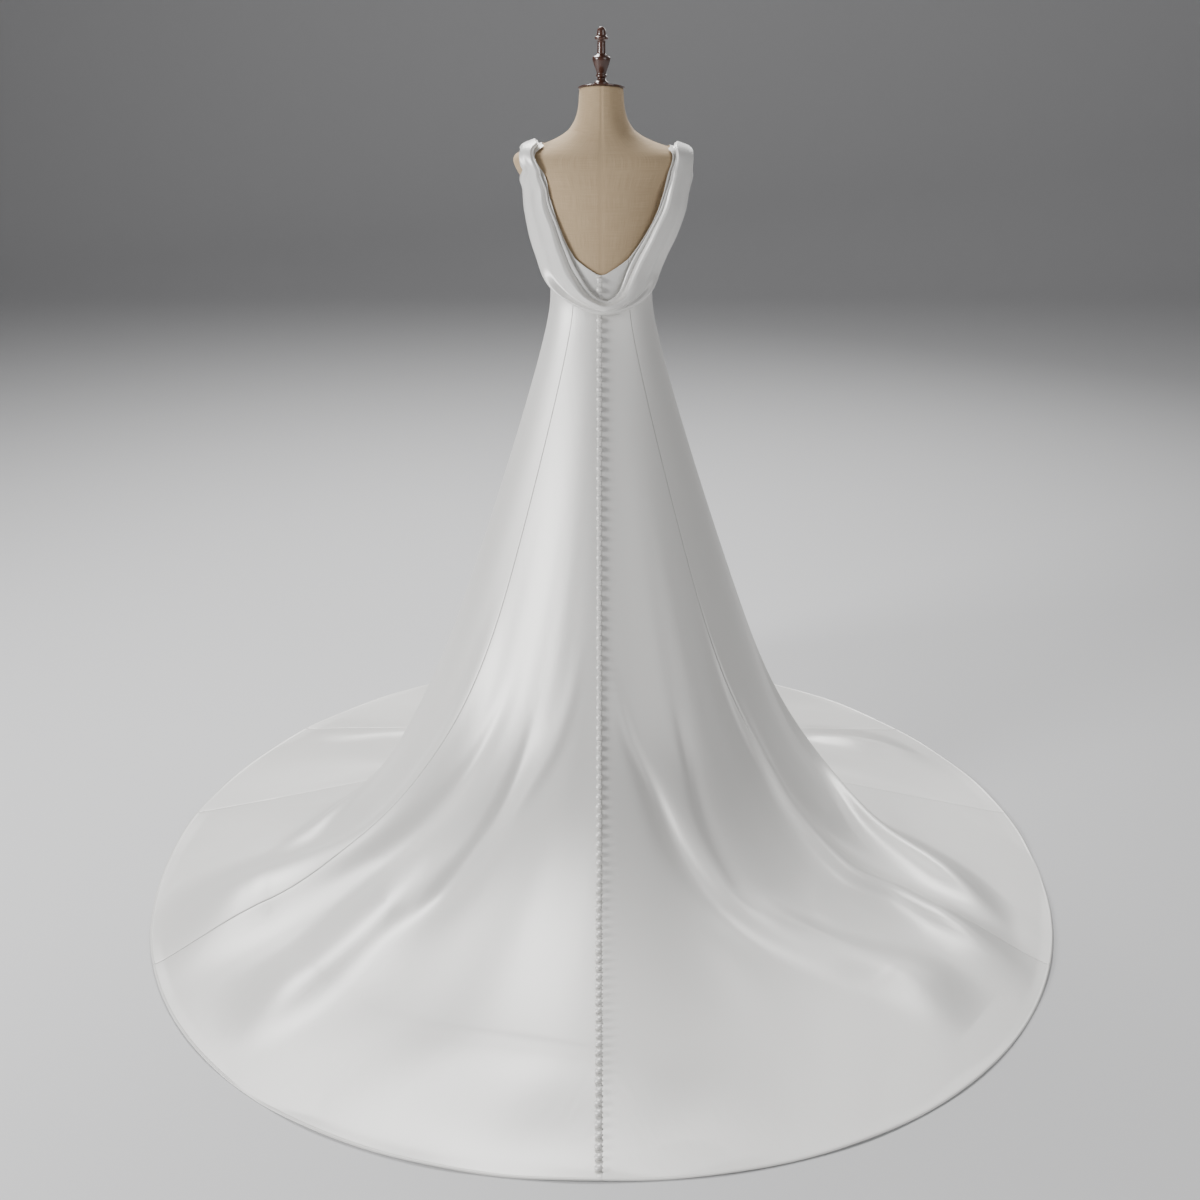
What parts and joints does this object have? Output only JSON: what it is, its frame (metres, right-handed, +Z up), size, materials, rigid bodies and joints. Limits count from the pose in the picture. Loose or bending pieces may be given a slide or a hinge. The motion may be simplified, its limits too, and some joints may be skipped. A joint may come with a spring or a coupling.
{
  "type": "wedding dress on a dress form",
  "caption": "Sleeveless satin wedding dress with a draped cowl back, a buttoned centre back and a round chapel train, standing on a limbless dress form.",
  "frame": {"origin": "on the floor at the axis of the dress form's pole, in the plane of the base's underside", "axes": "+Z up, the back of the dress and its train face -Y, +X to the right when the back is looked at"},
  "size_m": [1.9186, 1.9095, 1.7026],
  "materials": {
    "satin": "heavy ivory satin with a soft sheen",
    "linen": "natural linen, plain weave, matte",
    "dark_wood": "dark brown, glossy lacquer",
    "black_steel": "satin black"
  },
  "bodies": {
    "root": {"back_left": "satin", "back_right": "satin", "side_back_left": "satin", "side_back_right": "satin", "side_front_left": "satin", "side_front_right": "satin", "front": "satin", "cowl": "satin", "buttons_opening": "satin", "buttons_hip": "satin", "buttons_skirt": "satin", "buttons_train": "satin", "form_body": "linen", "form_neck_cap": "dark_wood", "form_finial": "dark_wood", "form_pole": "black_steel", "form_base": "black_steel"}
  },
  "joints": []
}
